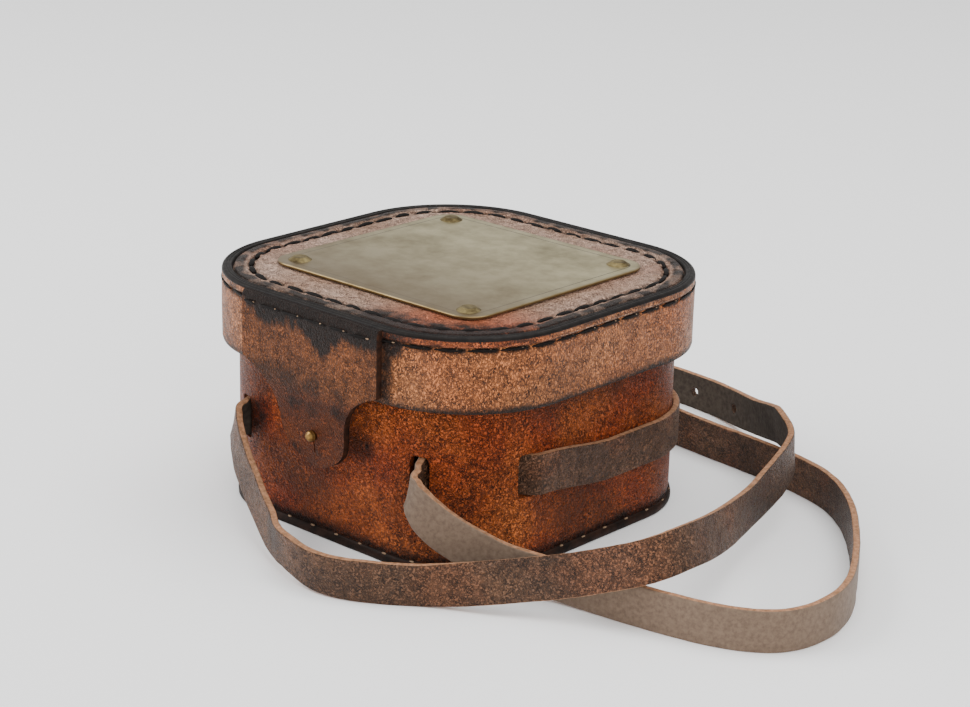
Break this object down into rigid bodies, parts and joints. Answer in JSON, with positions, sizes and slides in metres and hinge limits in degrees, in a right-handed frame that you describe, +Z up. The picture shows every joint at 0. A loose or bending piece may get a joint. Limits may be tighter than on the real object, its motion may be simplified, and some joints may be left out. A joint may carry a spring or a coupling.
{
  "type": "leather instrument case",
  "caption": "Squarish round-cornered leather case with a hinged cap lid, a tab buttoned on a ball stud, a brass plate on top and a long carrying strap threaded through slots.",
  "frame": {"origin": "centre of the base's underside", "axes": "+Z up, -Y towards the front with the buttoned tab, +X to the right seen from the front"},
  "size_m": [0.2156, 0.2103, 0.0776],
  "materials": {
    "case_leather": "semi-gloss",
    "black_leather": "burnished",
    "lid_leather": "semi-gloss",
    "strap_leather": "satin",
    "brass": "satin",
    "plate_brass": "aged satin"
  },
  "bodies": {
    "case": {"body_wall": "case_leather", "base_panel": "case_leather", "base_welt": "black_leather", "stud": "brass", "stud_washer": "brass", "stud_screw": "brass", "hinge_lower": "case_leather", "strap_wrap": "strap_leather", "strap_inner_right": "strap_leather", "strap_inner_left": "strap_leather", "strap_end_left": "strap_leather", "strap_end_right": "strap_leather", "strap_fold": "strap_leather", "buckle_frame": "brass", "strap_keeper": "strap_leather"},
    "lid": {"lid_band": "lid_leather", "lid_top": "lid_leather", "brass_plate": "plate_brass", "plate_rivets": "brass", "rivet_burrs": "brass", "tab_upper": "lid_leather", "hinge_upper": "lid_leather"},
    "tongue": {"tab_tongue": "lid_leather"},
    "prong": {"buckle_prong": "brass"}
  },
  "joints": [
    {"name": "lid_hinge", "type": "hinge", "parent": "case", "child": "lid", "pos_m": [0, 0.06435, 0.0509], "axis": [-1, 0, 0], "range_deg": [0, 110]},
    {"name": "tongue_bend", "type": "hinge", "parent": "lid", "child": "tongue", "pos_m": [0, -0.06435, 0.0509], "axis": [-1, 0, 0], "range_deg": [0, 70]},
    {"name": "prong_hinge", "type": "hinge", "parent": "case", "child": "prong", "pos_m": [-0.02, 0.0842, 0.0098], "axis": [0, 0, 1], "range_deg": [0, 100]}
  ]
}
